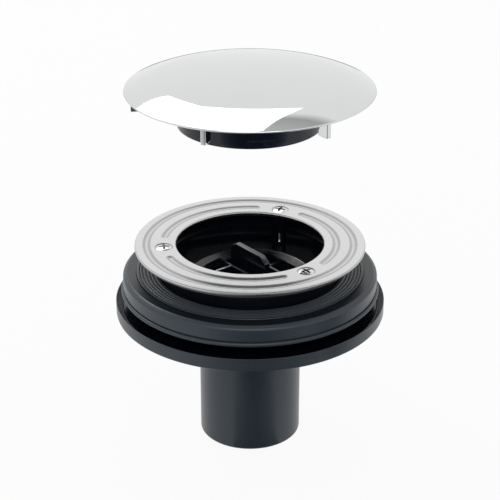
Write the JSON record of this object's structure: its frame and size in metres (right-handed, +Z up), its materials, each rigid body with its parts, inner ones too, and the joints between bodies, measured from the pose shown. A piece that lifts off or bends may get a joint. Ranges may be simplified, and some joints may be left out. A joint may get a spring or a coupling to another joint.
{
  "type": "shower tray waste",
  "caption": "Round shower tray waste: domed chrome cover lifted off a steel clamping flange, ribbed tray seal, lift-out strainer and a vertical outlet spigot.",
  "frame": {"origin": "centre of the lower end of the outlet spigot", "axes": "+Z up along the axis of the waste, towards the cover; the picture's camera stands on -Y"},
  "size_m": [0.1312, 0.1312, 0.1892],
  "materials": {
    "cover_chrome": "polished chrome plate",
    "plug_gloss_black": "gloss",
    "flange_steel": "satin stamped stainless",
    "screw_steel": "bright stainless",
    "seal_rubber": "matt rubber",
    "body_plastic": "satin moulded",
    "insert_plastic": "satin moulded"
  },
  "bodies": {
    "root": {"cover": "cover_chrome", "cover_plug_ring": "plug_gloss_black", "flange": "flange_steel", "flange_screws": "screw_steel", "flange_gasket": "seal_rubber", "tray_seal": "seal_rubber", "insert_seal": "seal_rubber", "seal_carrier": "body_plastic", "inlet_body": "body_plastic", "outlet_body": "body_plastic", "strainer_insert": "insert_plastic"}
  },
  "joints": []
}
